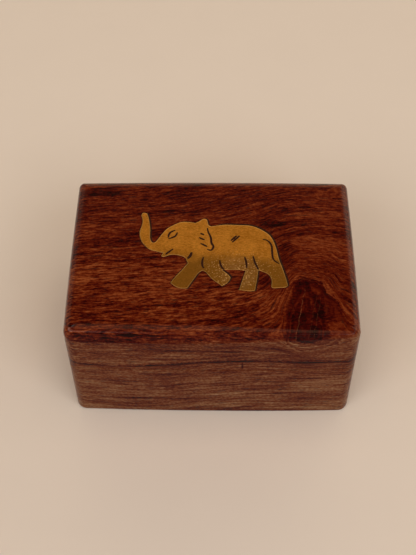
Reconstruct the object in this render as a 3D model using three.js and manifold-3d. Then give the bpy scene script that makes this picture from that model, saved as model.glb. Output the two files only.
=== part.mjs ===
// A small hinged wooden box with a brass elephant let into its lid.
// Millimetres, +Z up. The origin is the middle of the underside, the front faces -Y.

import * as THREE from 'three';
import { mergeVertices } from 'three/addons/utils/BufferGeometryUtils.js';
import Module from 'manifold-3d';

const wasm = await Module();
wasm.setup();

// Sizes of the two wooden blocks

const boxWidth = 76.2;
const boxDepth = 53.5;
const boxHeight = 38;
const baseHeight = 22;
const seamGap = 0.15;

const frontCornerRadius = 2.75;
const backCornerRadius = 1.7;
const leastCornerRadius = 0.15;
const topEdgeRadius = 2.6;
const bottomEdgeRadius = 1.0;
const rimEasing = 0.15;

// How far the hand-sanded sides stand out at their middles
const frontBow = 0.7;
const backBow = 0.4;
const endBow = 0.2;

const wallThickness = 6.4;
const floorThickness = 5;
const lidTopThickness = 5.5;
const cavityCornerRadius = 3;

// Sizes of the brass figure

const inlayLength = 39.6;
const inlayThickness = 1.0;
const inlayClearance = 0.12;
const inlayBehindMiddle = 0.8;
const engravingWidth = 0.42;
const engravingDepth = 0.25;

// Sizes of the hinges

const hingeSpacing = 40;
const hingeWidth = 12;
const leafDepth = 4.6;
const leafThickness = 0.7;
const mortiseClearance = 0.1;
const barrelRadius = 1.2;
const barrelClearance = 0.2;
const middleKnuckle = 4;
const knuckleGap = 0.2;
const pinRadius = 0.5;
const pinClearance = 0.05;
const axisInset = 0.4;
const openAngle = THREE.MathUtils.degToRad(100);
const stopClearance = 0.05;

// Sizes of the nails that hold the hinge leaves

const nailSpacing = 7.2;
const nailFromAxis = 3;
const nailHeadRadius = 0.95;
const nailHeadHeight = 0.5;
const nailShankRadius = 0.45;
const nailLength = 4.5;
const nailPoint = 0.8;
const nailClearance = 0.05;

// Values that follow from those

const lidRimZ = baseHeight + seamGap;
const axisY = boxDepth / 2 - axisInset;
const axisZ = baseHeight + seamGap / 2;
const leafFace = seamGap / 2;
const leafBack = leafFace + leafThickness;
const pinLength = hingeWidth;
const cutterReach = 4;

// How finely the rounded forms are divided

const cornerSteps = 6;
const longSideSteps = 10;
const shortSideSteps = 6;
const edgeSteps = 6;
const roundSides = 24;
const nailSides = 12;
const figureSteps = 2;
const strokeSteps = 8;

// Materials, one for each substance

const rosewood = { color: 0x74371f, roughness: 0.32, metalness: 0 };
const brass = { color: 0xb98a35, roughness: 0.38, metalness: 1 };
const steel = { color: 0x9a9690, roughness: 0.35, metalness: 1 };

// Solids and meshes

function solidFrom(geometry) {
  geometry.deleteAttribute('normal');
  geometry.deleteAttribute('uv');
  const merged = mergeVertices(geometry);
  const vertProperties = new Float32Array(merged.attributes.position.array);
  const triVerts = new Uint32Array(merged.index.array);
  return new wasm.Manifold(new wasm.Mesh({ numProp: 3, vertProperties, triVerts }));
}

function geometryFrom(solid) {
  const { vertProperties, triVerts } = solid.getMesh();
  const geometry = new THREE.BufferGeometry();
  geometry.setAttribute('position', new THREE.BufferAttribute(vertProperties, 3));
  geometry.setIndex(new THREE.BufferAttribute(triVerts, 1));
  geometry.computeVertexNormals();
  return geometry;
}

function pieceOf(name, geometry, look) {
  const mesh = new THREE.Mesh(geometry, new THREE.MeshStandardMaterial(look));
  mesh.name = name;
  return mesh;
}

// A box between two corners
function blockBetween([x0, y0, z0], [x1, y1, z1]) {
  const low = new THREE.Vector3(Math.min(x0, x1), Math.min(y0, y1), Math.min(z0, z1));
  const high = new THREE.Vector3(Math.max(x0, x1), Math.max(y0, y1), Math.max(z0, z1));
  const size = high.clone().sub(low);
  const middle = high.clone().add(low).multiplyScalar(0.5);
  return new THREE.BoxGeometry(size.x, size.y, size.z).translate(middle.x, middle.y, middle.z);
}

// A flat outline made into a plate between two heights
function plate(shape, bottom, top) {
  const options = { depth: top - bottom, bevelEnabled: false, curveSegments: cornerSteps };
  return new THREE.ExtrudeGeometry(shape, options).translate(0, 0, bottom);
}

function roundBar(radius, x0, x1) {
  const bar = new THREE.CylinderGeometry(radius, radius, x1 - x0, roundSides);
  return bar.rotateZ(Math.PI / 2).translate((x0 + x1) / 2, 0, 0);
}

// The wooden blocks

// Moves a point of the straight-sided plan to the sides' slight outward curve
function bowed(x, y) {
  const along = (x / (boxWidth / 2)) ** 2;
  const across = (y / (boxDepth / 2)) ** 2;
  const bow = y < 0 ? frontBow : backBow;
  const newX = x * (1 - (endBow / (boxWidth / 2)) * across);
  const newY = y * (1 - (bow / (boxDepth / 2)) * along);
  return [newX, newY];
}

// One level of a block: its plan drawn in by an inset, anticlockwise from the front right corner
function ring(inset, z) {
  const corners = [[1, -1, longSideSteps], [1, 1, shortSideSteps], [-1, 1, longSideSteps], [-1, -1, shortSideSteps]];
  const points = [];
  corners.forEach(([signX, signY, stepsBefore], index) => {
    const fullRadius = signY < 0 ? frontCornerRadius : backCornerRadius;
    const radius = Math.max(fullRadius - inset, leastCornerRadius);
    const coreX = boxWidth / 2 - inset - radius;
    const coreY = boxDepth / 2 - inset - radius;
    const turnStart = (index - 1) * Math.PI / 2;
    const corner = [];
    for (let step = 0; step <= cornerSteps; step += 1) {
      const turn = turnStart + (step / cornerSteps) * Math.PI / 2;
      corner.push([signX * coreX + radius * Math.cos(turn), signY * coreY + radius * Math.sin(turn)]);
    }
    points.push({ corner, stepsBefore });
  });
  const plan = [];
  points.forEach(({ corner, stepsBefore }, index) => {
    const previous = points[(index + 3) % 4].corner[cornerSteps];
    for (let step = 1; step < stepsBefore; step += 1) {
      const share = step / stepsBefore;
      const x = previous[0] + (corner[0][0] - previous[0]) * share;
      const y = previous[1] + (corner[0][1] - previous[1]) * share;
      plan.push([x, y]);
    }
    plan.push(...corner);
  });
  return plan.map(([x, y]) => new THREE.Vector3(...bowed(x, y), z));
}

// A closed body through rings that lie one above another
function loft(rings) {
  const count = rings[0].length;
  const vertices = rings.flat();
  const faces = [];
  for (let level = 0; level + 1 < rings.length; level += 1) {
    for (let side = 0; side < count; side += 1) {
      const a = level * count + side;
      const b = level * count + (side + 1) % count;
      faces.push(a, b, b + count, a, b + count, a + count);
    }
  }
  const bottomMiddle = vertices.length;
  vertices.push(new THREE.Vector3(0, 0, rings[0][0].z));
  const topMiddle = vertices.length;
  vertices.push(new THREE.Vector3(0, 0, rings[rings.length - 1][0].z));
  const topStart = (rings.length - 1) * count;
  for (let side = 0; side < count; side += 1) {
    const next = (side + 1) % count;
    faces.push(bottomMiddle, next, side);
    faces.push(topMiddle, topStart + side, topStart + next);
  }
  const geometry = new THREE.BufferGeometry().setFromPoints(vertices);
  geometry.setIndex(faces);
  return geometry;
}

// Rings that round off an edge, from the full plan inwards; up is 1 at a top edge and -1 at a bottom one
function roundedEdge(radius, edgeZ, up) {
  const rings = [];
  for (let step = 0; step <= edgeSteps; step += 1) {
    const turn = (step / edgeSteps) * Math.PI / 2;
    const inset = radius * (1 - Math.cos(turn));
    rings.push(ring(inset, edgeZ - up * radius * (1 - Math.sin(turn))));
  }
  return rings;
}

function baseBlank() {
  const bottomEdge = roundedEdge(bottomEdgeRadius, 0, -1).reverse();
  return loft([...bottomEdge, ring(0, baseHeight - rimEasing), ring(rimEasing, baseHeight)]);
}

function lidBlank() {
  const topEdge = roundedEdge(topEdgeRadius, boxHeight, 1);
  return loft([ring(rimEasing, lidRimZ), ring(0, lidRimZ + rimEasing), ...topEdge]);
}

function cavity(bottom, top) {
  const halfX = boxWidth / 2 - wallThickness;
  const halfY = boxDepth / 2 - wallThickness;
  const radius = cavityCornerRadius;
  const shape = new THREE.Shape();
  shape.absarc(halfX - radius, halfY - radius, radius, 0, Math.PI / 2);
  shape.absarc(radius - halfX, halfY - radius, radius, Math.PI / 2, Math.PI);
  shape.absarc(radius - halfX, radius - halfY, radius, Math.PI, 1.5 * Math.PI);
  shape.absarc(halfX - radius, radius - halfY, radius, 1.5 * Math.PI, 2 * Math.PI);
  return plate(shape, bottom, top);
}

// Bevels the back edge behind the hinge axis, so that the two blocks meet when the lid is fully open
function backBevel(side) {
  const rise = (cutterReach + stopClearance) * Math.tan(openAngle / 2);
  const profile = [[-stopClearance, 0], [cutterReach, 0], [cutterReach, side * rise]];
  const shape = new THREE.Shape(profile.map(([y, z]) => new THREE.Vector2(y, z)));
  const prism = new THREE.ExtrudeGeometry(shape, { depth: boxWidth + 2, bevelEnabled: false });
  const across = new THREE.Vector3(1, 0, 0);
  const back = new THREE.Vector3(0, 1, 0);
  const up = new THREE.Vector3(0, 0, 1);
  prism.applyMatrix4(new THREE.Matrix4().makeBasis(back, up, across));
  return prism.translate(-boxWidth / 2 - 1, axisY, axisZ);
}

// The elephant, drawn in millimetres about its own middle and seen from above

const figureStretches = {
  trunkTip: [[-19.6, 12.4], [-19.3, 13.1], [-18.7, 13.3], [-18.0, 13.0]],
  trunkAndBrow: [
    [-17.4, 11.0], [-16.9, 7.6], [-16.8, 4.4], [-16.4, 3.1], [-15.8, 2.8], [-15.1, 3.3],
    [-13.9, 5.4], [-12.4, 7.6], [-10.7, 8.9], [-8.6, 10.0], [-6.3, 10.0], [-4.7, 9.7],
  ],
  earTip: [[-3.7, 10.3], [-2.7, 11.1], [-1.8, 11.1], [-1.35, 10.3], [-1.1, 9.0], [-0.4, 8.5]],
  backAndRump: [
    [3.2, 9.1], [7.0, 9.0], [10.6, 8.7], [13.5, 7.2], [15.8, 4.9], [17.1, 1.0],
    [17.8, -3.0], [19.1, -7.8], [19.8, -11.4],
  ],
  hindFoot: [[19.2, -12.0], [17.4, -12.2], [15.8, -12.25], [15.4, -11.8]],
  hindLegInside: [[15.5, -9.6], [14.6, -7.7], [12.2, -6.4]],
  thirdLegBack: [[11.8, -9.4], [11.2, -13.1]],
  thirdFoot: [[9.7, -13.3], [7.0, -12.9]],
  thirdLegFront: [[8.0, -9.3], [8.8, -6.6]],
  belly: [[6.3, -6.3], [2.6, -6.4]],
  secondLegBack: [[4.0, -7.7], [4.9, -8.9]],
  secondFoot: [[4.1, -10.6], [2.6, -11.7]],
  secondLegFront: [[0.0, -9.4], [-1.7, -7.2], [-2.5, -6.6]],
  frontLegBack: [[-3.6, -7.5], [-5.0, -9.9], [-6.4, -12.4]],
  frontFoot: [[-7.9, -12.5], [-9.5, -11.9], [-10.9, -10.7]],
  frontLegFront: [[-9.8, -8.8], [-8.2, -6.7], [-6.5, -4.2]],
  jaw: [[-6.9, -3.2], [-7.2, -2.4], [-8.4, -1.7], [-10.3, -1.3], [-11.8, -1.6], [-13.0, -2.1], [-13.6, -1.8]],
  mouth: [[-13.4, -1.2], [-13.1, -0.7]],
  trunkOutside: [[-15.0, -0.2], [-17.2, 0.7], [-19.0, 3.0], [-19.8, 6.0], [-19.3, 8.8], [-19.2, 10.6], [-19.6, 12.4]],
};

const engravedLines = {
  upperEyelid: [[-11.9, 4.5], [-11.85, 5.4], [-11.3, 6.4], [-10.1, 7.1]],
  lowerEyelid: [[-11.9, 4.1], [-11.0, 4.45], [-10.0, 5.1], [-9.5, 6.35]],
  earEdge: [
    [-1.4, 7.95], [-1.15, 6.5], [-0.45, 4.6], [-0.25, 2.7], [0.25, 1.6], [0.05, 0.7], [-0.5, 0.2], [-1.4, 0.55],
  ],
  earFoldTop: [[-3.3, 6.0], [-2.8, 5.8], [-2.25, 5.5]],
  earFoldMiddle: [[-3.6, 4.6], [-2.95, 4.2], [-2.1, 3.75]],
  earFoldLow: [[-3.2, 2.55], [-2.3, 2.05], [-1.35, 1.45]],
  mouthLine: [[-12.5, -1.3], [-11.85, -0.65], [-10.5, 0.65]],
  chinFold: [[-6.6, -2.7], [-5.9, -1.75], [-5.5, -0.5]],
  flankTickFront: [[4.95, 3.5], [5.75, 4.4], [6.55, 5.25]],
  flankTickBack: [[5.3, 2.95], [6.3, 4.1], [7.35, 5.2]],
  tail: [
    [13.55, 4.0], [14.6, 3.7], [15.45, 2.8], [15.9, 1.5], [15.95, -0.2], [16.05, -2.0], [16.55, -3.3], [17.8, -4.3],
  ],
  frontLegLine: [[-2.35, -2.1], [-2.65, -3.55], [-2.6, -5.0], [-2.15, -5.9]],
  secondLegLine: [[2.0, -3.15], [2.15, -4.45], [2.65, -5.7], [3.2, -6.3]],
  thirdLegLine: [[8.6, -2.05], [9.0, -3.85], [9.1, -5.7]],
  hindLegLine: [[10.85, -1.75], [11.25, -3.7], [11.8, -5.3], [12.2, -6.3]],
};

// The outline as a smooth curve along each stretch, with a corner where one stretch meets the next
function figureOutline() {
  const stretches = Object.values(figureStretches);
  const [first, ...rest] = stretches;
  const path = new THREE.Path();
  path.moveTo(...first[0]);
  path.splineThru(first.slice(1).map(([x, y]) => new THREE.Vector2(x, y)));
  rest.forEach((stretch) => {
    path.splineThru(stretch.map(([x, y]) => new THREE.Vector2(x, y)));
  });
  const points = path.getPoints(figureSteps);
  points.pop();
  return points;
}

const drawnOutline = figureOutline();
const drawnReach = drawnOutline.map((point) => point.x);
const figureScale = inlayLength / (Math.max(...drawnReach) - Math.min(...drawnReach));

// From the drawing to its place on the lid
function onLid(point) {
  return new THREE.Vector2(point.x * figureScale, point.y * figureScale + inlayBehindMiddle);
}

// The outline moved outwards by an even distance
function grown(points, distance) {
  const outwards = THREE.ShapeUtils.isClockWise(points) ? -1 : 1;
  return points.map((point, index) => {
    const before = points[(index + points.length - 1) % points.length];
    const after = points[(index + 1) % points.length];
    const edgeIn = point.clone().sub(before).normalize();
    const edgeOut = after.clone().sub(point).normalize();
    const normal = new THREE.Vector2(edgeIn.y + edgeOut.y, -edgeIn.x - edgeOut.x).normalize();
    const spread = Math.max(normal.dot(new THREE.Vector2(edgeIn.y, -edgeIn.x)), 0.5);
    return point.clone().addScaledVector(normal, outwards * distance / spread);
  });
}

// An engraved line: a narrow outline that swells from both ends to its full width
function strokeShape(points) {
  const curve = new THREE.SplineCurve(points.map(([x, y]) => onLid(new THREE.Vector2(x, y))));
  const left = [];
  const right = [];
  for (let step = 0; step <= strokeSteps; step += 1) {
    const share = step / strokeSteps;
    const point = curve.getPoint(share);
    const tangent = curve.getTangent(share);
    const half = (engravingWidth / 2) * (0.5 + 0.5 * Math.sin(Math.PI * share));
    left.push(new THREE.Vector2(point.x - tangent.y * half, point.y + tangent.x * half));
    right.push(new THREE.Vector2(point.x + tangent.y * half, point.y - tangent.x * half));
  }
  return new THREE.Shape([...left, ...right.reverse()]);
}

const inlayBottom = boxHeight - inlayThickness;

function elephantInlay() {
  const outline = drawnOutline.map(onLid);
  let figure = solidFrom(plate(new THREE.Shape(outline), inlayBottom, boxHeight));
  Object.values(engravedLines).forEach((points) => {
    const groove = plate(strokeShape(points), boxHeight - engravingDepth, boxHeight + cutterReach);
    figure = figure.subtract(solidFrom(groove));
  });
  return geometryFrom(figure);
}

function inlayPocket() {
  const outline = grown(drawnOutline.map(onLid), inlayClearance);
  return plate(new THREE.Shape(outline), inlayBottom, boxHeight + cutterReach);
}

// The hinges, drawn about their own axis; side is -1 for what the base carries and 1 for what the lid carries

const outerKnuckleStart = middleKnuckle / 2 + knuckleGap;
const knuckles = {
  '-1': [[-hingeWidth / 2, -outerKnuckleStart], [outerKnuckleStart, hingeWidth / 2]],
  '1': [[-middleKnuckle / 2, middleKnuckle / 2]],
};

const nailPlaces = [-nailSpacing / 2, nailSpacing / 2];

// A turned form on a nail's line, its head towards the seam
function onNailLine(profile, side) {
  const points = profile.map(([radius, height]) => new THREE.Vector2(radius, height));
  const turned = new THREE.LatheGeometry(points, nailSides);
  return turned.rotateX(side < 0 ? Math.PI / 2 : -Math.PI / 2);
}

function nailForm(side) {
  const profile = [
    [0, -nailLength],
    [nailShankRadius, nailPoint - nailLength],
    [nailShankRadius, -nailHeadHeight],
    [nailHeadRadius, 0],
    [0, 0],
  ];
  return onNailLine(profile, side);
}

function nailHole(side, x) {
  const hole = onNailLine([
    [0, -nailLength - nailClearance],
    [nailShankRadius + nailClearance, -nailLength - nailClearance],
    [nailShankRadius + nailClearance, -nailHeadHeight],
    [nailHeadRadius + nailClearance, 0],
    [nailHeadRadius + nailClearance, leafFace],
    [0, leafFace],
  ], side);
  return hole.translate(x, -nailFromAxis, side * leafFace);
}

function hingeLeaf(side) {
  const plateEnd = -(barrelRadius + barrelClearance);
  const low = [-hingeWidth / 2, -leafDepth, side * leafFace];
  const high = [hingeWidth / 2, plateEnd, side * leafBack];
  let leaf = solidFrom(blockBetween(low, high));
  knuckles[side].forEach(([x0, x1]) => {
    const web = blockBetween([x0, -leafDepth, side * leafFace], [x1, 0, side * leafBack]);
    leaf = leaf.add(solidFrom(web)).add(solidFrom(roundBar(barrelRadius, x0, x1)));
  });
  leaf = leaf.subtract(solidFrom(roundBar(pinRadius + pinClearance, -hingeWidth, hingeWidth)));
  nailPlaces.forEach((x) => {
    leaf = leaf.subtract(solidFrom(nailHole(side, x)));
  });
  return geometryFrom(leaf);
}

// What a hinge takes out of a block: a shallow bed for the leaf, room for the barrel, and the nail holes
function hingeCuts(side, hingeX) {
  const halfWidth = hingeWidth / 2 + mortiseClearance;
  const back = cutterReach;
  const bed = blockBetween(
    [-halfWidth, -leafDepth - mortiseClearance, -side * leafFace],
    [halfWidth, back, side * leafBack],
  );
  const room = barrelRadius + barrelClearance;
  const barrelRoom = blockBetween([-halfWidth, -room, -side * leafFace], [halfWidth, back, side * room]);
  const holes = nailPlaces.map((x) => nailHole(side, x));
  return [bed, barrelRoom, ...holes].map((cut) => solidFrom(cut.translate(hingeX, axisY, axisZ)));
}

const hingePlaces = { left: -hingeSpacing / 2, right: hingeSpacing / 2 };

function hollowedBlock(blank, side, hollow, otherCuts) {
  let block = solidFrom(blank).subtract(solidFrom(hollow)).subtract(solidFrom(backBevel(side)));
  otherCuts.forEach((cut) => {
    block = block.subtract(solidFrom(cut));
  });
  Object.values(hingePlaces).forEach((hingeX) => {
    hingeCuts(side, hingeX).forEach((cut) => {
      block = block.subtract(cut);
    });
  });
  return geometryFrom(block);
}

// What turns with the lid is in one group and what stands still is in the other

const baseGroup = new THREE.Group();
const lidGroup = new THREE.Group();

const baseHollow = cavity(floorThickness, baseHeight + cutterReach);
const lidHollow = cavity(lidRimZ - cutterReach, boxHeight - lidTopThickness);
baseGroup.add(pieceOf('base_block', hollowedBlock(baseBlank(), -1, baseHollow, []), rosewood));
lidGroup.add(pieceOf('lid_block', hollowedBlock(lidBlank(), 1, lidHollow, [inlayPocket()]), rosewood));
lidGroup.add(pieceOf('elephant_inlay', elephantInlay(), brass));

Object.entries(hingePlaces).forEach(([where, hingeX]) => {
  const onAxis = (piece) => {
    piece.position.set(hingeX, axisY, axisZ);
    return piece;
  };
  baseGroup.add(onAxis(pieceOf(`${where}_hinge_base_leaf`, hingeLeaf(-1), brass)));
  lidGroup.add(onAxis(pieceOf(`${where}_hinge_lid_leaf`, hingeLeaf(1), brass)));
  const pinForm = roundBar(pinRadius, -pinLength / 2, pinLength / 2);
  baseGroup.add(onAxis(pieceOf(`${where}_hinge_pin`, pinForm, steel)));
  [[-1, 'base', baseGroup], [1, 'lid', lidGroup]].forEach(([side, carrier, group]) => {
    nailPlaces.forEach((x, index) => {
      const nail = pieceOf(`${where}_${carrier}_nail_${index + 1}`, nailForm(side), brass);
      nail.position.set(hingeX + x, axisY - nailFromAxis, axisZ + side * leafFace);
      group.add(nail);
    });
  });
});

const box = new THREE.Group();
box.add(baseGroup, lidGroup);

export default box;
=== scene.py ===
# %% [markdown]
# # A small rosewood box with a brass elephant let into its lid
#
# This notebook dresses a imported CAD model: the same pieces, in the same places, with finer shapes and with
# real looking wood and brass. Everything is written in metres, because that is the unit of the CAD frame,
# but the sizes below are named in millimetres, as a box maker would say them, and turned into metres at the
# end.

# %% Load the frame
import math

import bmesh
import bpy
from mathutils import Matrix, Vector
from mathutils.geometry import intersect_line_line_2d


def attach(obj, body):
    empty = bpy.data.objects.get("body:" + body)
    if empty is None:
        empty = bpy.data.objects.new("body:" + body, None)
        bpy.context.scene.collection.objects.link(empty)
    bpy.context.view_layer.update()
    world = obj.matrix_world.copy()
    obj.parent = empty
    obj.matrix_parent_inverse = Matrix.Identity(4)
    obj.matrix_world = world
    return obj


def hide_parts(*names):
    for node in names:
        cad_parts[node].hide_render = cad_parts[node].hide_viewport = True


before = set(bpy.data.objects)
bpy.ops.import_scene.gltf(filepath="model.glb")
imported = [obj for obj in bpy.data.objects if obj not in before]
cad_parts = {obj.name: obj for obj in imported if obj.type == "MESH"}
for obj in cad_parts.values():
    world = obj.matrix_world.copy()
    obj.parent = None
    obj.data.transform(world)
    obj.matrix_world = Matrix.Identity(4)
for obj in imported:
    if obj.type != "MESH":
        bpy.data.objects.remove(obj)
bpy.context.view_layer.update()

MM = 0.001

# %% [markdown]
# ## The sizes of the box
#
# These are the box maker's own sizes, in millimetres. The outside, the walls, the hollow and the corners are
# the same as in the CAD model. The shoulders and the slope along the front are finer forms that only this
# script has. The sizes come first, because the wood's pattern has to know where the walls and the hollow are.

# %% Sizes of the box
box_width = 76.2
box_depth = 53.5
box_height = 38.0
base_height = 22.0
seam_gap = 0.15
front_corner_radius = 2.75
back_corner_radius = 1.7
least_corner_radius = 0.15
top_edge_radius = 2.6
shoulder_radius = 6.5
shoulder_tilt = 9
front_shoulder_radius = 4.5
front_shoulder_tilt = 35
front_blend_radius = 1.0
front_arris_radius = 0.2
front_slope_length = 2.54
front_slope_tilt = 62
front_slope_fades = (-2.0, 38.0, 0.7)
bottom_edge_radius = 1.0
rim_radius = 0.12
front_bow = 0.7
back_bow = 0.4
end_bow = 0.2
wall = 6.4
floor_thickness = 5.0
lid_top_thickness = 5.5
hollow_corner = 3.0
hollow_fillet = 0.9
corner_steps = 10
long_steps = 20
short_steps = 14
lid_rim = base_height + seam_gap
print("box:", box_width, "by", box_depth, "by", box_height, "mm")

# %% [markdown]
# ## The camera
#
# The photograph was taken from the front and well above. The camera comes first, because every later choice
# is judged through it. It is placed by where it stands and what it looks at, then rolled a little. The
# sensor is fitted to the height of the picture, so the lens says how much fits between the top and the
# bottom edge.

# %% Camera
camera_place = Vector((1.95, -168.6, 251.55)) * MM
camera_target = Vector((-1.23, 0, 27.17)) * MM
camera_roll = math.radians(-0.66)
camera_lens = 66.15
sensor_height = 36


def in_scene(name, data):
    """A new object with that data, put into the scene."""
    item = bpy.data.objects.new(name, data)
    bpy.context.scene.collection.objects.link(item)
    return item


camera_data = bpy.data.cameras.new("camera")
camera_data.sensor_fit = "VERTICAL"
camera_data.sensor_height = sensor_height
camera_data.lens = camera_lens
camera_data.clip_start = 0.01
camera = in_scene("camera", camera_data)
facing = (camera_target - camera_place).to_track_quat("-Z", "Y").to_matrix().to_4x4()
camera.matrix_world = Matrix.Translation(camera_place) @ facing @ Matrix.Rotation(camera_roll, 4, "Z")
bpy.context.scene.camera = camera
print("camera stands", round(camera_place.length / MM), "mm from the box")

# %% [markdown]
# ## Soft studio light
#
# Polished wood and brass show what stands around them, so the light is made of large soft panels. Each
# panel is named by where it stands as seen from the box, and by how bright it looks, because that
# brightness is what turns up in the reflections. The panels behind are warm and dim, so that the top stays
# deep in colour. A dim warm room fills in the rest.

# %% Light panels
box_middle = Vector((0, 0, 20)) * MM
daylight = (1.0, 0.90, 0.80)


def light_panel(name, turn, height, distance, width, tall, brightness, color=daylight):
    """A glowing panel; turn counts from the front to the right, height from the floor, in degrees."""
    turn = math.radians(turn)
    height = math.radians(height)
    away = Vector((math.sin(turn) * math.cos(height), -math.cos(turn) * math.cos(height), math.sin(height)))
    data = bpy.data.lights.new(name, "AREA")
    data.shape = "RECTANGLE"
    data.size = width
    data.size_y = tall
    data.color = color
    data.energy = brightness * math.pi * width * tall
    facing = away.to_track_quat("Z", "Y").to_matrix().to_4x4()
    in_scene(name, data).matrix_world = Matrix.Translation(box_middle + away * distance) @ facing


for side in (-1, 1):
    light_panel("front_window", 38 * side, 40, 1.5, 1.0, 0.8, 3.2 + 0.1 * side)
    light_panel("side_window", 90 * side, 42, 1.5, 0.8, 0.8, 0.85 + 0.12 * side, (1.0, 0.82, 0.66))
    light_panel("back_glow", 135 * side, 20, 1.5, 1.0, 0.9, 0.85 + 0.35 * side, (1.0, 0.85, 0.62))
light_panel("ceiling_lamp", 0, 90, 1.5, 1.2, 0.9, 1.28, (1.0, 0.60, 0.36))
light_panel("back_wall", 180, 18, 1.5, 1.8, 1.1, 1.15, (1.0, 0.76, 0.48))
light_panel("back_window", 180, 40, 1.6, 1.6, 0.5, 0.1, (1.0, 0.80, 0.58))

room = bpy.data.worlds.new("room")
room.use_nodes = True
room.node_tree.nodes["Background"].inputs["Color"].default_value = (0.034, 0.026, 0.018, 1)
room.node_tree.nodes["Background"].inputs["Strength"].default_value = 1.0
bpy.context.scene.world = room
bpy.context.scene.view_settings.view_transform = "Standard"

# %% [markdown]
# ## A short way to write materials
#
# Every pattern below is a chain of small nodes, and linking them one by one makes long code. Here the
# output of a node is a value that can be added, multiplied and so on. Each such step adds the node that
# does it, so a pattern reads like a formula.

# %% Values with arithmetic


class Value:
    """What a node puts out. Arithmetic on it adds the node that does it, for numbers and vectors alike."""

    def __init__(self, nodes, socket):
        self.nodes = nodes
        self.socket = socket

    def arithmetic(self, operation, first, second=None):
        """One step of a formula; it is a step with vectors as soon as one side is a vector."""
        is_vector = [isinstance(part, tuple) or isinstance(part, Value) and part.socket.type == "VECTOR"
                     for part in (first, second)]
        kind = "ShaderNodeVectorMath" if any(is_vector) else "ShaderNodeMath"
        return self.nodes.make(kind, [first, second], operation=operation)

    def __add__(self, other):
        return self.arithmetic("ADD", self, other)

    def __sub__(self, other):
        return self.arithmetic("SUBTRACT", self, other)

    def __rsub__(self, other):
        return self.arithmetic("SUBTRACT", other, self)

    def __mul__(self, other):
        return self.arithmetic("MULTIPLY", self, other)

    def __truediv__(self, other):
        return self.arithmetic("DIVIDE", self, other)

    def __pow__(self, other):
        return self.arithmetic("POWER", self, other)

    def __abs__(self):
        return self.arithmetic("ABSOLUTE", self)

    __radd__ = __add__
    __rmul__ = __mul__

    def span(self, low, high, to_low=0.0, to_high=1.0, smooth=False):
        """Stretches the span from low to high over the span from to_low to to_high, and stops there."""
        kind = "SMOOTHSTEP" if smooth else "LINEAR"
        ends = [self, low, high, to_low, to_high]
        return self.nodes.make("ShaderNodeMapRange", ends, interpolation_type=kind)

    def length(self):
        return self.nodes.make("ShaderNodeVectorMath", [self], "Value", operation="LENGTH")

    def outputs(self):
        """All outputs of the same node, by name."""
        return {socket.name: Value(self.nodes, socket) for socket in self.socket.node.outputs}

    def split(self):
        """The three numbers of a vector."""
        return self.nodes.make("ShaderNodeSeparateXYZ", [self]).outputs().values()


print("values ready")

# %% [markdown]
# The nodes themselves are added by a second class, with one short call for each kind that is needed.
# Patterns that are used more than once are node groups with named inputs and outputs.

# %% Node helper


def socket_name(word):
    return word.replace("_", " ").title()


class Nodes:
    """Adds nodes to one tree. Their inputs are numbers, tuples or the values of earlier nodes."""

    def __init__(self, tree):
        self.tree = tree

    def put(self, socket, value):
        if isinstance(value, Value):
            self.tree.links.new(value.socket, socket)
        elif value is not None:
            if socket.type == "VECTOR" and not isinstance(value, tuple):
                value = (value, value, value)
            socket.default_value = (*value, 1) if socket.type == "RGBA" else value

    def make(self, kind, inputs=(), output=0, **settings):
        """Adds a node with its settings and its inputs, in order or by name; gives one of its outputs."""
        node = self.tree.nodes.new(kind)
        for name, setting in settings.items():
            setattr(node, name, setting)
        for name, value in (inputs if isinstance(inputs, dict) else dict(enumerate(inputs))).items():
            self.put(node.inputs[name], value)
        return Value(self, node.outputs[output])

    def join(self, x, y, z):
        return self.make("ShaderNodeCombineXYZ", [x, y, z])

    def larger(self, first, second):
        return self.make("ShaderNodeMath", [first, second], operation="MAXIMUM")

    def noise(self, vector, scale=1.0, detail=2.0, roughness=0.5):
        named = {"Vector": vector, "Scale": scale, "Detail": detail, "Roughness": roughness}
        return self.make("ShaderNodeTexNoise", named, "Fac")

    def mix(self, share, first, second, blend="MIX"):
        """A colour between two others; 0, 6 and 7 are the share and the colours among the node's inputs."""
        colors = {0: share, 6: first, 7: second}
        return self.make("ShaderNodeMix", colors, 2, data_type="RGBA", blend_type=blend)

    def ramp(self, value, stops):
        """A colour for each value; stops maps places from 0 to 1 to linear colours or to greys."""
        made = self.make("ShaderNodeValToRGB", [value])
        band = made.socket.node.color_ramp
        while len(band.elements) < len(stops):
            band.elements.new(0.5)
        for element, (place, color) in zip(band.elements, sorted(stops.items())):
            element.position = place
            element.color = (*color, 1) if isinstance(color, tuple) else (color, color, color, 1)
        return made

    def group(self, tree, **values):
        """A node group with inputs given by name; gives all its outputs by name."""
        named = {socket_name(word): value for word, value in values.items()}
        return self.make("ShaderNodeGroup", named, node_tree=tree).outputs()

    def give(self, **values):
        """Links values to the outputs of the group that this tree makes."""
        node = self.tree.nodes.new("NodeGroupOutput")
        for word, value in values.items():
            self.put(node.inputs[socket_name(word)], value)


def new_group(name, inputs, outputs, kind="ShaderNodeTree"):
    """A node group whose inputs and outputs are named with their kinds; gives its nodes and its inputs."""
    tree = bpy.data.node_groups.new(name, kind)
    for in_out, sockets in (("INPUT", inputs), ("OUTPUT", outputs)):
        for title, socket_kind in sockets.items():
            tree.interface.new_socket(title, in_out=in_out, socket_type="NodeSocket" + socket_kind)
    nodes = Nodes(tree)
    return nodes, nodes.make("NodeGroupInput").outputs()


print("node helper ready")

# %% [markdown]
# ## How the grain runs through the block
#
# Both halves of the box come from one piece of wood, so they share one solid pattern that is read at each
# point's place in the block. The tree's heart lay in front of the box and above it, and its rings cut
# through the block as curved layers. A branch left a knot at the front right of the lid, wider on its right
# side, with a darker core. Around a knot the layers part, just as water parts around a post, and that is
# also how the formula reads: the nearer a point is to the knot, the more its layer is pushed aside.

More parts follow.
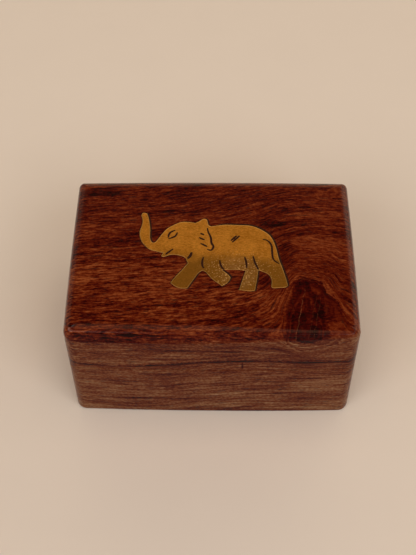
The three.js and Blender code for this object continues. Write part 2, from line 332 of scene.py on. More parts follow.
# %% Grain of the block
knot_place = (23.7, -26.75, 38.0)
knot_lean = math.radians(21.6)
knot_left_half = 5.6
knot_right_half = 10.0
knot_half_height = 6.45
knot_fullness = 2.1
core_half_width = 5.2
core_height_share = 0.86
core_fullness = 1.7
tree_heart_y = -52.0
tree_heart_z = 63.0

nodes, given = new_group(
    "block_grain",
    {"Vector": "Vector"},
    {
        "Place": "Vector", "Along": "Float", "Layer": "Float",
        "Around": "Float", "Knot": "Float", "Core": "Float",
    },
)
place = given["Vector"] * (1 / MM)
x, y, z = place.split()
beside, behind, above = (place - knot_place).split()
off_axis = behind * math.sin(knot_lean) + above * math.cos(knot_lean)
wobble = (nodes.noise(place * 0.2) - 0.5) * 2.6
half_width = beside.span(-2.0, 3.0, knot_left_half, knot_right_half, smooth=True)
height_share = (off_axis + wobble * 0.6) / knot_half_height


def full_oval(first, second, fullness):
    """How far out a place lies in an oval, 1 on its edge; 2 is an ellipse, more is fuller at the corners."""
    return (abs(first) ** fullness + abs(second) ** fullness) ** (1 / fullness)


knot = full_oval((beside + wobble) / half_width, height_share, knot_fullness)
core = full_oval((beside + wobble) / core_half_width, height_share / core_height_share, core_fullness)
nearness = z.span(27.0, 34.0) / nodes.larger(knot * knot, 1.0)
from_heart_y = y - behind * nearness - tree_heart_y
from_heart_z = z - above * nearness - tree_heart_z
low_rise = x.span(-22.0, 14.0, 0.0, 2.7, smooth=True) * z.span(24.0, 31.0, 1.0, 0.1)
wander = (nodes.noise(place * (0.025, 0.06, 0.06), detail=1.0) - 0.5) * 5.0
tilt = x * -0.08 * z.span(30.0, 38.0)
layer = nodes.join(0.0, from_heart_y, from_heart_z).length() + low_rise + wander + tilt
around = nodes.make("ShaderNodeMath", [from_heart_z, from_heart_y], operation="ARCTAN2") * 60.0
nodes.give(place=place, along=x, layer=layer, around=around, knot=knot, core=core)
block_grain = nodes.tree
print("grain group:", len(block_grain.nodes), "nodes")

# %% [markdown]
# ## Streaks and patches
#
# A rosewood board also has dark mineral streaks, pale flames and small patches of its own. Each one is a
# flat lens of colour somewhere in the block, with a ragged edge. One group makes such a lens. Two lenses are
# painted light rather than wood: a painted highlight at the front right corner and a painted lightening of
# the dark reflection at the foot of the front slope. The table gives each one its middle, its half size along
# each axis, its slope and how much it darkens; below zero it lightens.

# %% One streak
nodes, given = new_group(
    "tone_lens",
    {"Place": "Vector", "Middle": "Vector", "Half Size": "Vector", "Slope": "Float", "Ragged": "Float"},
    {"Mask": "Float"},
)
offset = given["Place"] - given["Middle"]
beside, _, _ = offset.split()
rise = beside * given["Slope"]
far = ((offset - nodes.join(0.0, rise, rise)) / given["Half Size"]).length()
ragged = (nodes.noise(given["Place"] * (0.4, 1.8, 1.8), detail=3.0) - 0.5) * given["Ragged"]
nodes.give(mask=(far + ragged).span(1.0, 0.35, smooth=True))
tone_lens = nodes.tree
print("streak group:", len(tone_lens.nodes), "nodes")

# %% Table of streaks
streaks = {
    "rear left patch": ((-31, 21.2, 38), (8, 2.2, 5), 0.04, 0.24),
    "light band before it": ((-30, 18.2, 38), (7, 0.7, 4), 0.03, -0.12),
    "line over the trunk": ((-27, 10.5, 38), (8, 0.8, 4), 0.02, 0.12),
    "rear middle line": ((-2, 14.6, 38), (14, 0.35, 4), 0.09, 0.22),
    "rear short dashes": ((25.4, 16.2, 38), (2.6, 0.45, 3), 0.0, 0.4),
    "light beside the dashes": ((22.5, 13.6, 38), (5, 0.8, 3), 0.0, -0.25),
    "behind the back": ((15.5, 10.4, 38), (5, 1.9, 5), -0.1, 0.3),
    "between the legs": ((6, -9.5, 38), (11, 3.0, 3), 0.0, 0.16),
    "line before the knot": ((20, -24.2, 38), (6, 0.5, 2), -0.1, 0.2),
    "flame left of the knot": ((14.5, -17.5, 38), (6, 4.5, 3.4), 0.55, -0.22),
    "dark before the flame": ((10.0, -24.8, 37.5), (8, 4.2, 4), 0.3, 0.19),
    "between the hind legs": ((15.0, -10.0, 38), (5.5, 4.5, 3), 0.0, 0.2),
    "dark band over the trunk": ((-12, 14.0, 38), (13, 2.6, 4), 0.02, 0.1),
    "dark left slope": ((-31, -26.0, 35.6), (9, 3, 2.2), 0.0, 0.14),
    "shade behind the rump": ((19.8, 0.0, 38), (3.2, 7, 3), 0.0, 0.2),
    "light rear right": ((31, 12.0, 38), (10, 7.5, 4), 0.0, -0.14),
    "light left side": ((-36, -10.5, 38), (10, 4.5, 4), 0.0, -0.22),
    # Painted highlight at the front right corner.
    "painted highlight at the right corner": ((35.0, -24.5, 37.0), (4.0, 3.5, 3), 0.0, -0.14),
    # Painted light: it lightens the dark reflection at the foot of the front slope, in its middle.
    "painted light under the slope": ((-4, -26.5, 34.4), (17, 3, 1.8), 0.0, -0.12),
    "flame behind the knot": ((23, -8.2, 38), (6, 1.4, 4), 0.0, -0.12),
    "shade right of the knot": ((34, -17.0, 38), (4.0, 5.0, 4), -0.6, 0.07),
    "light right side": ((27, 2.0, 38), (9, 7, 4), 0.0, -0.07),
    "light front band": ((-18, -10.0, 38), (22, 5.5, 4), 0.08, -0.12),
    "dark front line": ((-12, -16.9, 38), (16, 0.5, 4), 0.1, 0.2),
    "dark left corner": ((-32, -21.8, 38), (9, 3.0, 4), 0.1, 0.26),
    "front edge slit": ((-20.6, -25.5, 36.6), (3.6, 2.4, 0.5), 0.0, 0.9),
    "upper front streak": ((0, -26.5, 31.2), (18, 6, 0.6), -0.02, 0.2),
    "shade at the left of the lid": ((-27, -26.5, 28.5), (15, 6, 5.0), 0.0, 0.06),
    "low left streak": ((-20, -26.5, 7.3), (20, 6, 0.6), 0.0, 0.22),
    "light over it": ((6, -26.5, 10.6), (14, 6, 1.0), 0.12, -0.14),
    "low right streak": ((18, -26.5, 10.2), (16, 6, 0.7), 0.03, 0.17),
    "light right band": ((27, -26.5, 11.5), (18, 6, 3.6), 0.06, -0.14),
    "dark foot patch": ((7.5, -26.5, 2.6), (7, 6, 0.9), 0.2, 0.26),
    "slanted middle streak": ((3, -26.5, 14.4), (10, 6, 0.55), 0.16, 0.22),
    "middle right streak": ((24, -26.5, 17.6), (14, 6, 0.5), 0.0, 0.2),
    "small front crack": ((8.0, -26.5, 24.1), (0.4, 6, 1.9), 0.0, 0.3),
    "dark under the line": ((8, -26.5, 20.3), (11, 6, 2.8), 0.0, 0.1),
    "light low left": ((-20, -26.5, 10.5), (14, 6, 5.5), 0.0, -0.1),
    "dark foot": ((1, -26.5, 1.2), (17, 6, 2.6), 0.0, 0.16),
    "light lid right": ((32, -26.5, 29.5), (9, 6, 4.5), 0.0, -0.07),
    "dark base left": ((-31, -26.5, 20.3), (7, 6, 3), 0.0, 0.09),
    "light low right": ((32, -26.5, 4.2), (9, 6, 5.5), 0.0, -0.12),
}
print("streaks and patches:", len(streaks))

# %% [markdown]
# ## The rosewood finish
#
# The tone of the wood is the sum of slow bands, thinner lines, fine fibres and grit, all but the last drawn
# out along the grain by shrinking the coordinate that runs along it. On the sides of the box the fibres
# look longer, and on its sawn ends they turn into growth rings, because there the saw went across them.

# %% Tone of the wood
nodes, given = new_group(
    "rosewood_figure_and_painted_light",
    {"Vector": "Vector"},
    {"Color": "Color", "Roughness": "Float", "Polish": "Float", "Height": "Float"},
)
place, along, layer, around, knot, core = nodes.group(block_grain, vector=given["Vector"]).values()
x, y, z = place.split()


def drawn_out(along_scale, layer_scale, around_scale, detail=4.0, roughness=0.75):
    """Noise about zero that is long along the grain and thin across it."""
    vector = nodes.join(along * along_scale, layer * layer_scale, around * around_scale)
    return nodes.noise(vector, detail=detail, roughness=roughness) - 0.5


bands = drawn_out(0.012, 0.2, 0.03, 2.0, 0.55)
lines = drawn_out(0.05, 0.9, 0.2, roughness=0.65)
flecks = drawn_out(0.35, 2.4, 1.4, 2.0, 0.55)
top_fibres = drawn_out(0.28, 2.0, 1.0)
side_fibres = drawn_out(0.11, 2.0, 1.0)
end_rings = drawn_out(0.28, 2.0, 0.12, roughness=0.7)
blotches = nodes.noise(place * (0.07, 0.13, 0.13)) - 0.5

fade_start, fade_end, fade = front_slope_fades
slope_rise = 3.4
edge_raggedness = 1.3
edge_z = z - x.span(fade_start, fade_end) * y.span(-21.0, -25.0, 0.0, slope_rise * fade)
on_top = edge_z.span(34.3, 35.5)
beside_top = 1.0 - on_top
on_ends = abs(x).span(37.2, 37.9) * beside_top
behind_middle = y.span(-12.0, 14.0, smooth=True)
# Painted shade: the upper part of the front slope is made darker, standing in for the dark room that it
# reflects.
painted_slope_shade = y.span(-25.0, -25.6) * z.span(37.2, 36.6) * on_top
lid_front = z.span(22.5, 25.5) * z.span(35.5, 34.0)

fibres = on_ends.span(0.0, 1.0, top_fibres * on_top + side_fibres * beside_top, end_rings)
grit = (nodes.noise(place * (1.3, 2.2, 2.2)) - 0.5) * on_ends.span(0.0, 1.0, 1.0, 0.5)
fibre_weight = on_top.span(0.0, 1.0, z.span(21.0, 24.0, 0.47, 0.63), 1.22)
fibre_weight = fibre_weight * (1.0 - behind_middle * 0.3) * knot.span(1.2, 2.6, 0.6, 1.0)
tone = bands * 0.5 + lines * 0.7 + fibres * fibre_weight * 2.0 + grit * 0.65 + blotches * 0.45 + 0.48
# The tone also takes off the painted shade on the front slope.
tone = tone - lid_front * 0.035 - behind_middle * on_top * 0.1 - on_ends * 0.05 - painted_slope_shade * 0.16
for name, (middle, half_size, slope, strength) in streaks.items():
    lens = {"middle": middle, "half_size": half_size, "slope": slope, "ragged": edge_raggedness}
    mask = nodes.group(tone_lens, place=place, **lens)["Mask"]
    mask.socket.node.label = name
    tone = tone - mask * strength
print("tone of the wood with", len(streaks), "streaks and patches")

# %% [markdown]
# A dark line wanders across the front of the lid. Its height is a curve through a few places, and it casts
# a soft shade upwards in its middle part, where the mineral has spread.

# %% Wandering line on the front
front_line_points = [
    (-38, 25.0), (-30.5, 23.8), (-21.5, 23.5), (-14, 24.25), (-8, 25.0), (-3, 25.8),
    (4.5, 26.25), (14.5, 26.25), (22, 25.5), (30, 25.6), (38, 26.1),
]
line_low = 20.0
line_room = 10.0

line_curve = nodes.make("ShaderNodeFloatCurve", {"Value": x.span(-38.0, 38.0)})
mapping = line_curve.socket.node.mapping
curve = mapping.curves[0]
while len(curve.points) < len(front_line_points):
    curve.points.new(0.5, 0.5)
for point, (at_x, at_z) in zip(curve.points, front_line_points):
    point.location = ((at_x + 38) / 76, (at_z - line_low) / line_room)
mapping.update()

over_line = z + grit * 0.9 + lines * 0.8 - (line_curve * line_room + line_low)
line_core = abs(over_line).span(0.5, 0.1, smooth=True)
line_shade = over_line.span(1.8, 0.0) * over_line.span(-0.4, 0.0)
line_middle = abs(x - 9.0).span(22.0, 4.0, 0.35, 1.0)
near_front = y.span(-16.0, -22.0)
tone = tone - near_front * (line_core * 0.27 + line_shade * line_middle * 0.2)
print("line through", len(front_line_points), "places")

# %% [markdown]
# The knot has rings of its own, read from two ovals: the core gives the dark rings on the top, and the
# whole knot gives the pale rings on the front, where the saw met it at a slant. Thin cracks run along the
# core.

# %% Rings and cracks of the knot
knot_noise = fibres * 0.3 + lines * 0.3 + grit * 0.1
knot_value = knot + knot_noise
rings_on_top = nodes.ramp((core + knot_noise) * 0.5, {
    0.0: 0.22, 0.2: 0.15, 0.3: 0.24, 0.37: 0.15, 0.41: 0.34, 0.45: 0.12, 0.52: 0.13, 0.6: 0.43, 0.9: 0.48,
})
right_and_behind = x.span(19.0, 22.5, smooth=True) * y.span(-24.0, -15.0)
outer_arc = abs(knot_value - 1.0).span(0.13, 0.03, smooth=True)
rings_on_top = rings_on_top - outer_arc * right_and_behind * 0.26
rings_on_front = nodes.ramp(knot_value * 0.7, {
    0.0: 0.15, 0.27: 0.14, 0.33: 0.46, 0.47: 0.4, 0.51: 0.66,
    0.55: 0.42, 0.61: 0.4, 0.66: 0.7, 0.7: 0.46, 0.85: 0.5,
})
knot_rings = nodes.mix(edge_z.span(34.2, 35.2), rings_on_front, rings_on_top)
in_knot = knot_value.span(x.span(18.0, 23.0, 1.35, 1.25), x.span(18.0, 23.0, 0.7, 1.06), smooth=True)
tone = nodes.mix(in_knot, tone, knot_rings + fibres * 1.1 + grit * 0.6 + lines * 0.4)

crack_line = (y + 18.0) * 0.2 + (nodes.noise(place * 0.5, detail=1.0) - 0.5) * 0.8
cracks = []
for crack_x, strength in ((22.9, 0.26), (26.2, 0.07), (27.4, 0.1)):
    away = abs(x - crack_x - crack_line)
    cracks.append(away.span(0.13, 0.03) * knot.span(0.85, 0.7) * on_top * grit.span(-0.2, 0.1) * strength)
print("knot with", len(cracks), "cracks")

# %% [markdown]
# One value, the tone, picks the colour from a ramp, so all of these stay in the same family of browns.
# Pores are short dark dashes. The top is polished dark and wet looking under a clear coat. The sides are
# paler and dry. The inside was never polished at all, so it is plainer still.

# %% Colours of the wood
pores = flecks.span(0.09, 0.2)
wood_color = nodes.ramp(tone, {
    0.0: (0.010, 0.0001, 0.0001),
    0.22: (0.042, 0.0006, 0.0002),
    0.46: (0.106, 0.0105, 0.0016),
    0.70: (0.188, 0.038, 0.009),
    1.0: (0.30, 0.085, 0.025),
})
wood_color = nodes.mix(pores * 0.7, wood_color, (0.02, 0.0025, 0.0012))
wood_color = nodes.mix(beside_top, wood_color, (1.27, 2.82, 5.45), blend="MULTIPLY")
for crack in cracks:
    wood_color = nodes.mix(crack, wood_color, (0.44, 0.17, 0.075))

past_end = abs(x) - (box_width / 2 - wall)
past_side = abs(y) - (box_depth / 2 - wall)
in_plan = nodes.larger(past_end, past_side).span(0.15, 0.02)
hollow_middle = (floor_thickness + box_height - lid_top_thickness) / 2
hollow_half = hollow_middle - floor_thickness + 0.3
inside = in_plan * abs(z - hollow_middle).span(hollow_half + 0.1, hollow_half)
wood_color = nodes.mix(inside, wood_color, nodes.mix(0.55, wood_color, (0.16, 0.075, 0.038)))

nodes.give(
    color=wood_color,
    roughness=lines * 0.08 + pores * 0.15 + inside * 0.4 + 0.22,
    polish=(on_top.span(0.0, 1.0, 0.05, 0.7) - inside * 0.6).span(0.0, 1.0),
    height=pores * -0.35 + fibres * 0.3 + lines * 0.4,
)
rosewood_figure_and_painted_light = nodes.tree
print("rosewood group:", len(rosewood_figure_and_painted_light.nodes), "nodes")

# %% [markdown]
# ## The wood as a material
#
# The polish is a coat over the wood, thick on the top and thin on the sides. Both layers bend light less
# than usual, which keeps the reflections from laying a grey veil over the deep colour.

# %% Rosewood material


def new_material(name):
    """A material, its nodes and the coordinates that its patterns are read at."""
    made = bpy.data.materials.new(name)
    made.use_nodes = True
    nodes = Nodes(made.node_tree)
    return made, nodes, nodes.make("ShaderNodeTexCoord", output="Object")


def shade(nodes, inputs, bump_height=None, bump_depth=0.0):
    """Sets inputs of the shader; a height from 0 to 1 becomes a bump of the given depth in metres."""
    shader = nodes.tree.nodes["Principled BSDF"].inputs
    if bump_height is not None:
        inputs["Normal"] = nodes.make("ShaderNodeBump", {"Height": bump_height, "Distance": bump_depth})
    for name, value in inputs.items():
        nodes.put(shader[name], value)


rosewood, nodes, coordinates = new_material("rosewood")
figure = nodes.group(rosewood_figure_and_painted_light, vector=coordinates)
rosewood_inputs = {
    "Base Color": figure["Color"],
    "Roughness": figure["Roughness"],
    "IOR": 1.15,
    "Coat Weight": figure["Polish"],
    "Coat IOR": 1.31,
    "Coat Roughness": 0.22,
}
shade(nodes, rosewood_inputs, figure["Height"], 0.03 * MM)
print("material:", rosewood.name)

# %% [markdown]
# ## The brass
#
# Sheet brass that was sawn out, let in and sanded flush keeps fine straight scratches. The lower, front
# part of the elephant is painted duller and darker, as a painted reflection of a darker part of the room,
# with a pale patch and a dusting of tiny bright nicks. Its sawn edge, which stands up a hair above the lac,
# carries a painted highlight: a paler colour along its rim.

# %% Brass material
nodes, given = new_group(
    "brass_wear_and_painted_light",
    {"Vector": "Vector"},
    {"Color": "Color", "Roughness": "Float", "Height": "Float"},
)
place = given["Vector"] * (1 / MM)
x, y, z = place.split()
cloudy = nodes.noise(place * 0.3, detail=4.0, roughness=0.6).span(0.3, 0.7)
speckle = nodes.noise(place * 1.6, detail=3.0, roughness=0.7)
scratches = nodes.noise(place * (0.25, 7.0, 1.0), detail=3.0, roughness=0.7)
mottle = nodes.noise(place * (1.3, 2.2, 1.0), detail=4.0, roughness=0.8)
# Painted reflection: the lower, front part of the elephant is made duller and darker, standing in for a
# darker part of the room that it mirrors.
painted_dark_reflection = (y + (cloudy - 0.5) * 2.4 + (x - 4.0) * 0.06).span(1.3, -4.3, smooth=True)
from_pale = place - (7.0, -6.5, box_height)
pale = (from_pale / (6.5, 7.0, 2.0)).length().span(1.0, 0.5, smooth=True) * speckle.span(0.35, 0.7)
nick_zone = (from_pale / (12.0, 9.0, 2.0)).length().span(1.0, 0.4)
nick_field = nodes.make("ShaderNodeTexVoronoi", {"Vector": place, "Scale": 1.9}, "Distance")
nicks = nick_field.span(0.38, 0.14) * speckle.span(0.43, 0.53) * nick_zone
# Painted highlight: a paler colour along the softened top edge of the brass, with a lower roughness there.
rim = z.span(box_height - 0.004, box_height - 0.03) * z.span(box_height - 0.3, box_height - 0.2)

wear = cloudy * 0.5 + mottle.span(0.3, 0.7, -0.35, 0.85)
color = nodes.mix(wear, (0.42, 0.17, 0.013), (0.76, 0.375, 0.057))
darker_reflection_color = nodes.mix(mottle.span(0.3, 0.7), (0.22, 0.10, 0.009), (0.36, 0.17, 0.024))
color = nodes.mix(painted_dark_reflection, color, darker_reflection_color)
color = nodes.mix(pale * 0.85, color, (0.40, 0.225, 0.085))
color = nodes.mix(nicks, color, (0.95, 0.66, 0.28))
color = nodes.mix(rim * 0.5, color, (0.95, 0.60, 0.20))
nodes.give(color=color, roughness=scratches.span(0.3, 0.7, 0.44, 0.58) - rim * 0.16, height=scratches)
brass_wear_and_painted_light = nodes.tree

brass, nodes, coordinates = new_material("brass")
surface = nodes.group(brass_wear_and_painted_light, vector=coordinates)
brass_inputs = {"Base Color": surface["Color"], "Roughness": surface["Roughness"], "Metallic": 1.0}
shade(nodes, brass_inputs, surface["Height"], 0.004 * MM)
print("material:", brass.name)

# %% [markdown]
# ## Lac and steel
#
# The lac in the gap and in the engraved lines is nearly black and slightly rough. The hinge pins are drawn
# steel wire, with fine lines along them.

# %% Lac and steel materials
lac, nodes, coordinates = new_material("dark_lac")
grains = nodes.noise(coordinates, scale=2500.0, detail=3.0)
lac_color = nodes.mix(grains, (0.016, 0.004, 0.002), (0.042, 0.012, 0.006))
lac_inputs = {"Base Color": lac_color, "Roughness": grains.span(0.3, 0.7, 0.5, 0.7), "IOR": 1.2}
shade(nodes, lac_inputs, grains, 0.02 * MM)

steel, nodes, coordinates = new_material("steel")
drawn_lines = nodes.noise(coordinates * (300.0, 9000.0, 9000.0), detail=3.0)
steel_color = nodes.mix(drawn_lines, (0.30, 0.28, 0.25), (0.46, 0.44, 0.41))
steel_roughness = drawn_lines.span(0.3, 0.7, 0.3, 0.45)
steel_inputs = {"Base Color": steel_color, "Roughness": steel_roughness, "Metallic": 1.0}
shade(nodes, steel_inputs, drawn_lines, 0.005 * MM)
print("materials:", [item.name for item in (rosewood, brass, lac, steel)])

# %% [markdown]
# ## Making solids from stacked outlines
#
# A box, a sheet of brass and a bar are all one kind of form: a closed outline that is repeated at several
# levels and changes a little from one to the next. One helper skins such a stack and closes both ends, so
# every piece is a closed solid whose faces point outwards. A second one cuts or joins solids, a third keeps
# what a modifier made as plain mesh, and the last gives a piece its finish, hangs it under its body and
# hides the CAD parts that it replaces.

# %% Mesh helpers


def mesh_object(name, vertices, faces):
    """A new object at the origin, from places in millimetres, its faces turned outwards."""
    mesh = bpy.data.meshes.new(name)
    mesh.from_pydata([Vector(vertex) * MM for vertex in vertices], [], faces)
    work = bmesh.new()
    work.from_mesh(mesh)
    bmesh.ops.recalc_face_normals(work, faces=work.faces)
    work.to_mesh(mesh)
    work.free()
    return in_scene(name, mesh)


def stacked(name, rings):
    """A closed body through rings of equally many places, each ring above the one before it."""
    count = len(rings[0])
    vertices = [place for ring in rings for place in ring]
    faces = [list(range(count))[::-1], list(range(len(vertices) - count, len(vertices)))]
    for level in range(len(rings) - 1):
        for side in range(count):
            low = level * count + side
            low_next = level * count + (side + 1) % count
            faces.append((low, low_next, low_next + count, low + count))
    return mesh_object(name, vertices, faces)


def cut(target, *cutters, operation="DIFFERENCE"):
    """Takes the cutters out of the target, or adds them to it, and removes them."""
    for cutter in cutters:
        modifier = target.modifiers.new("cut", "BOOLEAN")
        modifier.operation = operation
        modifier.solver = "EXACT"
        modifier.object = cutter
        bake_modifiers(target)
        bpy.data.objects.remove(cutter)
    return target


def bake_modifiers(item):
    """Keeps what the modifiers made as the object's own mesh."""
    evaluated = item.evaluated_get(bpy.context.evaluated_depsgraph_get())
    mesh = bpy.data.meshes.new_from_object(evaluated)
    item.modifiers.clear()
    item.data = mesh
    mesh.name = item.name


def finish_piece(item, material, body, replaced, sharp_angle=30):
    """Shades a piece, gives it its material, hangs it under its body and hides the CAD parts that it
    replaces.
    """
    item.data.materials.clear()
    item.data.materials.append(material)
    item.data.polygons.foreach_set("use_smooth", [True] * len(item.data.polygons))
    item.data.set_sharp_from_angle(angle=math.radians(sharp_angle))
    even_out = item.modifiers.new("flat faces stay flat", "WEIGHTED_NORMAL")
    even_out.keep_sharp = True
    even_out.weight = 100
    bake_modifiers(item)
    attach(item, body)
    if replaced:
        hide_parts(*replaced)
    print(item.name, len(item.data.polygons), "faces")


# %% [markdown]
# ## The two wooden blocks
#
# On the real box each half is a solid block that was hollowed out with a router and sanded round at its
# outer edges. Hand sanding takes more off near the corners, so the sides stand out slightly at their
# middles. The top edges have a soft shoulder before their round. Along the front the shoulder turns into a
# steep slope with a blunt arris below it, and this fades out towards the right corner. The upright corners
# at the back are tighter than those at the front.

# %% Outlines of the blocks


def rounded_plan(half_x, half_y, front_radius, back_radius):
    """A rectangle with round corners, anticlockwise, with even steps along its sides."""
    places = []
    corners = ((1, -1, long_steps), (1, 1, short_steps), (-1, 1, long_steps), (-1, -1, short_steps))
    arcs = []
    for index, (sign_x, sign_y, _) in enumerate(corners):
        arc = []
        radius = front_radius if sign_y < 0 else back_radius
        for step in range(corner_steps + 1):
            turn = (index - 1 + step / corner_steps) * math.pi / 2
            arc.append((sign_x * (half_x - radius) + radius * math.cos(turn),
                        sign_y * (half_y - radius) + radius * math.sin(turn)))
        arcs.append(arc)
    for index, (_, _, steps_before) in enumerate(corners):
        start = arcs[index - 1][-1]
        end = arcs[index][0]
        for step in range(1, steps_before):
            share = step / steps_before
            places.append((start[0] + (end[0] - start[0]) * share, start[1] + (end[1] - start[1]) * share))
        places.extend(arcs[index])
    return places


def outer_ring(inset, level):
    """The outside of the box, drawn in by an inset, with its slightly bowed sides."""
    ring = []
    radii = [max(radius - inset, least_corner_radius) for radius in (front_corner_radius, back_corner_radius)]
    for x, y in rounded_plan(box_width / 2 - inset, box_depth / 2 - inset, *radii):
        bow = front_bow if y < 0 else back_bow
        narrower = 1 - end_bow / (box_width / 2) * (y / (box_depth / 2)) ** 2
        shallower = 1 - bow / (box_depth / 2) * (x / (box_width / 2)) ** 2
        ring.append((x * narrower, y * shallower, level))
    return ring


def inner_ring(inset, level):
    """The wall of the hollow, drawn in by an inset."""
    radius = hollow_corner - inset
    plan = rounded_plan(box_width / 2 - wall - inset, box_depth / 2 - wall - inset, radius, radius)
    return [(x, y, level) for x, y in plan]


def rounding(ring_at, radius, edge, up, steps, outwards=1):
    """Rings over a rounded edge, from the upright wall to the flat; up is 1 or -1."""
    rings = []
    for step in range(steps + 1):
        turn = step / steps * math.pi / 2
        inset = outwards * radius * (1 - math.cos(turn))
        rings.append(ring_at(inset, edge - up * radius * (1 - math.sin(turn))))
    return rings


print("plain outline:", len(outer_ring(0, 0)), "places")

# %% [markdown]
# The profile of an edge is drawn once, in arcs and straight slopes, and then run round the block. The front
# has a profile of its own, and the corners ease from one to the other.

# %% Edges of the blocks


def edge_profile(*stretches):
    """Insets and drops of an edge, from the flat face out to the side.

    Each stretch is an arc, given by its radius and the tilt in degrees that it turns to, or a straight
    slope, given by its length and the tilt that it keeps. The last number is into how many steps it is cut.
    """
    places = [(0.0, 0.0)]
    tilt = 0.0
    for kind, size, end_tilt, steps in stretches:
        end_tilt = math.radians(end_tilt)
        for step in range(steps):
            out, down = places[-1]
            if kind == "slope":
                out += size / steps * math.cos(end_tilt)
                down += size / steps * math.sin(end_tilt)
            else:
                turned = tilt + (end_tilt - tilt) / (steps - step)
                out += size * (math.sin(turned) - math.sin(tilt))
                down += size * (math.cos(tilt) - math.cos(turned))
                tilt = turned
            places.append((out, down))
    whole = places[-1][0]
    return [(whole - out, down) for out, down in places]


def smooth_share(share):
    """A share that is kept between 0 and 1 and eased at both ends."""
    share = min(max(share, 0.0), 1.0)
    return share * share * (3 - 2 * share)


def blended(first, second, shares):
    """A ring between two others; each place has its own share of the second."""
    return [Vector(a).lerp(Vector(b), share) for a, b, share in zip(first, second, shares)]


bottom_edge = edge_profile(("arc", bottom_edge_radius, 90, 8))
top_edge = edge_profile(("arc", shoulder_radius, shoulder_tilt, 4), ("arc", top_edge_radius, 90, 12))
front_edge = edge_profile(
    ("arc", front_shoulder_radius, front_shoulder_tilt, 7),
    ("arc", front_blend_radius, front_slope_tilt, 4),
    ("slope", front_slope_length, front_slope_tilt, 2),
    ("arc", front_arris_radius, 90, 3),
)
print("front edge:", len(front_edge), "places, the others:", len(top_edge))

# %% [markdown]
# Each block is skinned in one go: up the outside, over the rim, down the inside and across the floor of the
# hollow. A ring close to each rounded edge keeps the flat faces looking flat.

# %% Both blocks


def hollow_block(name, flat, rim, hollow_floor, edge, front, up):
    """A block from its flat face to its rim and back into its hollow; up says on which side its rim is."""
    beside = 0.35
    flat_ring = outer_ring(0, flat)
    front_shares = [
        smooth_share((-place[1] - box_depth / 2 + front_corner_radius) / front_corner_radius)
        for place in flat_ring
    ]
    fade_start, fade_end, fade = front_slope_fades
    fade_shares = [(place[0] - fade_start) / (fade_end - fade_start) for place in flat_ring]
    sizes = [1 - fade * min(max(share, 0), 1) for share in fade_shares]
    rings = []
    for (inset, drop), (front_inset, front_drop) in zip([edge[0], *edge], [front[0], *front]):
        extra = 0 if rings else beside
        front_ring = blended(flat_ring, outer_ring(front_inset + extra, flat + up * front_drop), sizes)
        rings.append(blended(outer_ring(inset + extra, flat + up * drop), front_ring, front_shares))
    rings += [
        outer_ring(0, flat + up * (max(edge[-1][1], front[-1][1]) + beside)),
        outer_ring(0, rim - up * (rim_radius + beside)),
        *rounding(outer_ring, rim_radius, rim, up, 3),
        outer_ring(rim_radius + beside, rim),
        inner_ring(-rim_radius - beside, rim),
        *rounding(inner_ring, rim_radius, rim, up, 3, outwards=-1)[::-1],
        inner_ring(0, rim - up * (rim_radius + beside)),
        inner_ring(0, hollow_floor + up * (hollow_fillet + beside)),
        *rounding(inner_ring, hollow_fillet, hollow_floor, -up, 5),
        inner_ring(hollow_fillet + beside, hollow_floor),
    ]
    return stacked(name, rings)


base_wood = hollow_block("base_wood", 0.0, base_height, floor_thickness, bottom_edge, bottom_edge, 1)
lid_floor = box_height - lid_top_thickness
lid_wood = hollow_block("lid_wood", box_height, lid_rim, lid_floor, top_edge, front_edge, -1)
print("blocks:", len(base_wood.data.polygons), len(lid_wood.data.polygons), "faces")

# %% [markdown]
# ## The elephant
#
# The figure is fretsawn from sheet brass. Its outline is drawn as named stretches, each a smooth curve
# through a few places, with a corner where two stretches meet, the way a saw turns. The drawing is in
# millimetres about the figure's own middle. The same helper that draws the stretches also runs along the
# engraved lines.

# %% Drawing of the elephant
figure_stretches = {
    "trunk tip": [(-19.6, 12.4), (-19.3, 13.1), (-18.7, 13.3), (-18.0, 13.0)],
    "trunk and brow": [
        (-17.4, 11.0), (-16.9, 7.6), (-16.8, 4.4), (-16.4, 3.1), (-15.8, 2.8), (-15.1, 3.3),
        (-13.9, 5.4), (-12.4, 7.6), (-10.7, 8.9), (-8.6, 10.0), (-6.3, 10.0), (-4.7, 9.7),
    ],
    "ear tip": [(-3.7, 10.3), (-2.7, 11.1), (-1.8, 11.1), (-1.35, 10.3), (-1.1, 9.0), (-0.4, 8.5)],
    "back and rump": [
        (3.2, 9.1), (7.0, 9.0), (10.6, 8.7), (13.5, 7.2), (15.8, 4.9), (17.1, 1.0),
        (17.8, -3.0), (19.1, -7.8), (19.8, -11.4),
    ],
    "hind foot": [(19.2, -12.0), (17.4, -12.2), (15.8, -12.25), (15.4, -11.8)],
    "hind leg inside": [(15.5, -9.6), (14.6, -7.7), (12.2, -6.4)],
    "third leg back": [(11.8, -9.4), (11.2, -13.1)],
    "third foot": [(9.7, -13.3), (7.0, -12.9)],
    "third leg front": [(8.0, -9.3), (8.8, -6.6)],
    "belly": [(6.3, -6.3), (2.6, -6.4)],
    "second leg back": [(4.0, -7.7), (4.9, -8.9)],
    "second foot": [(4.1, -10.6), (2.6, -11.7)],
    "second leg front": [(0.0, -9.4), (-1.7, -7.2), (-2.5, -6.6)],
    "front leg back": [(-3.6, -7.5), (-5.0, -9.9), (-6.4, -12.4)],
    "front foot": [(-7.9, -12.5), (-9.5, -11.9), (-10.9, -10.7)],
    "front leg front": [(-9.8, -8.8), (-8.2, -6.7), (-6.5, -4.2)],
    "jaw": [
        (-6.9, -3.2), (-7.2, -2.4), (-8.4, -1.7), (-10.3, -1.3), (-11.8, -1.6), (-13.0, -2.1), (-13.6, -1.8),
    ],
    "mouth": [(-13.4, -1.2), (-13.1, -0.7)],
    "trunk outside": [
        (-15.0, -0.2), (-17.2, 0.7), (-19.0, 3.0), (-19.8, 6.0), (-19.3, 8.8), (-19.2, 10.6), (-19.6, 12.4),
    ],
}

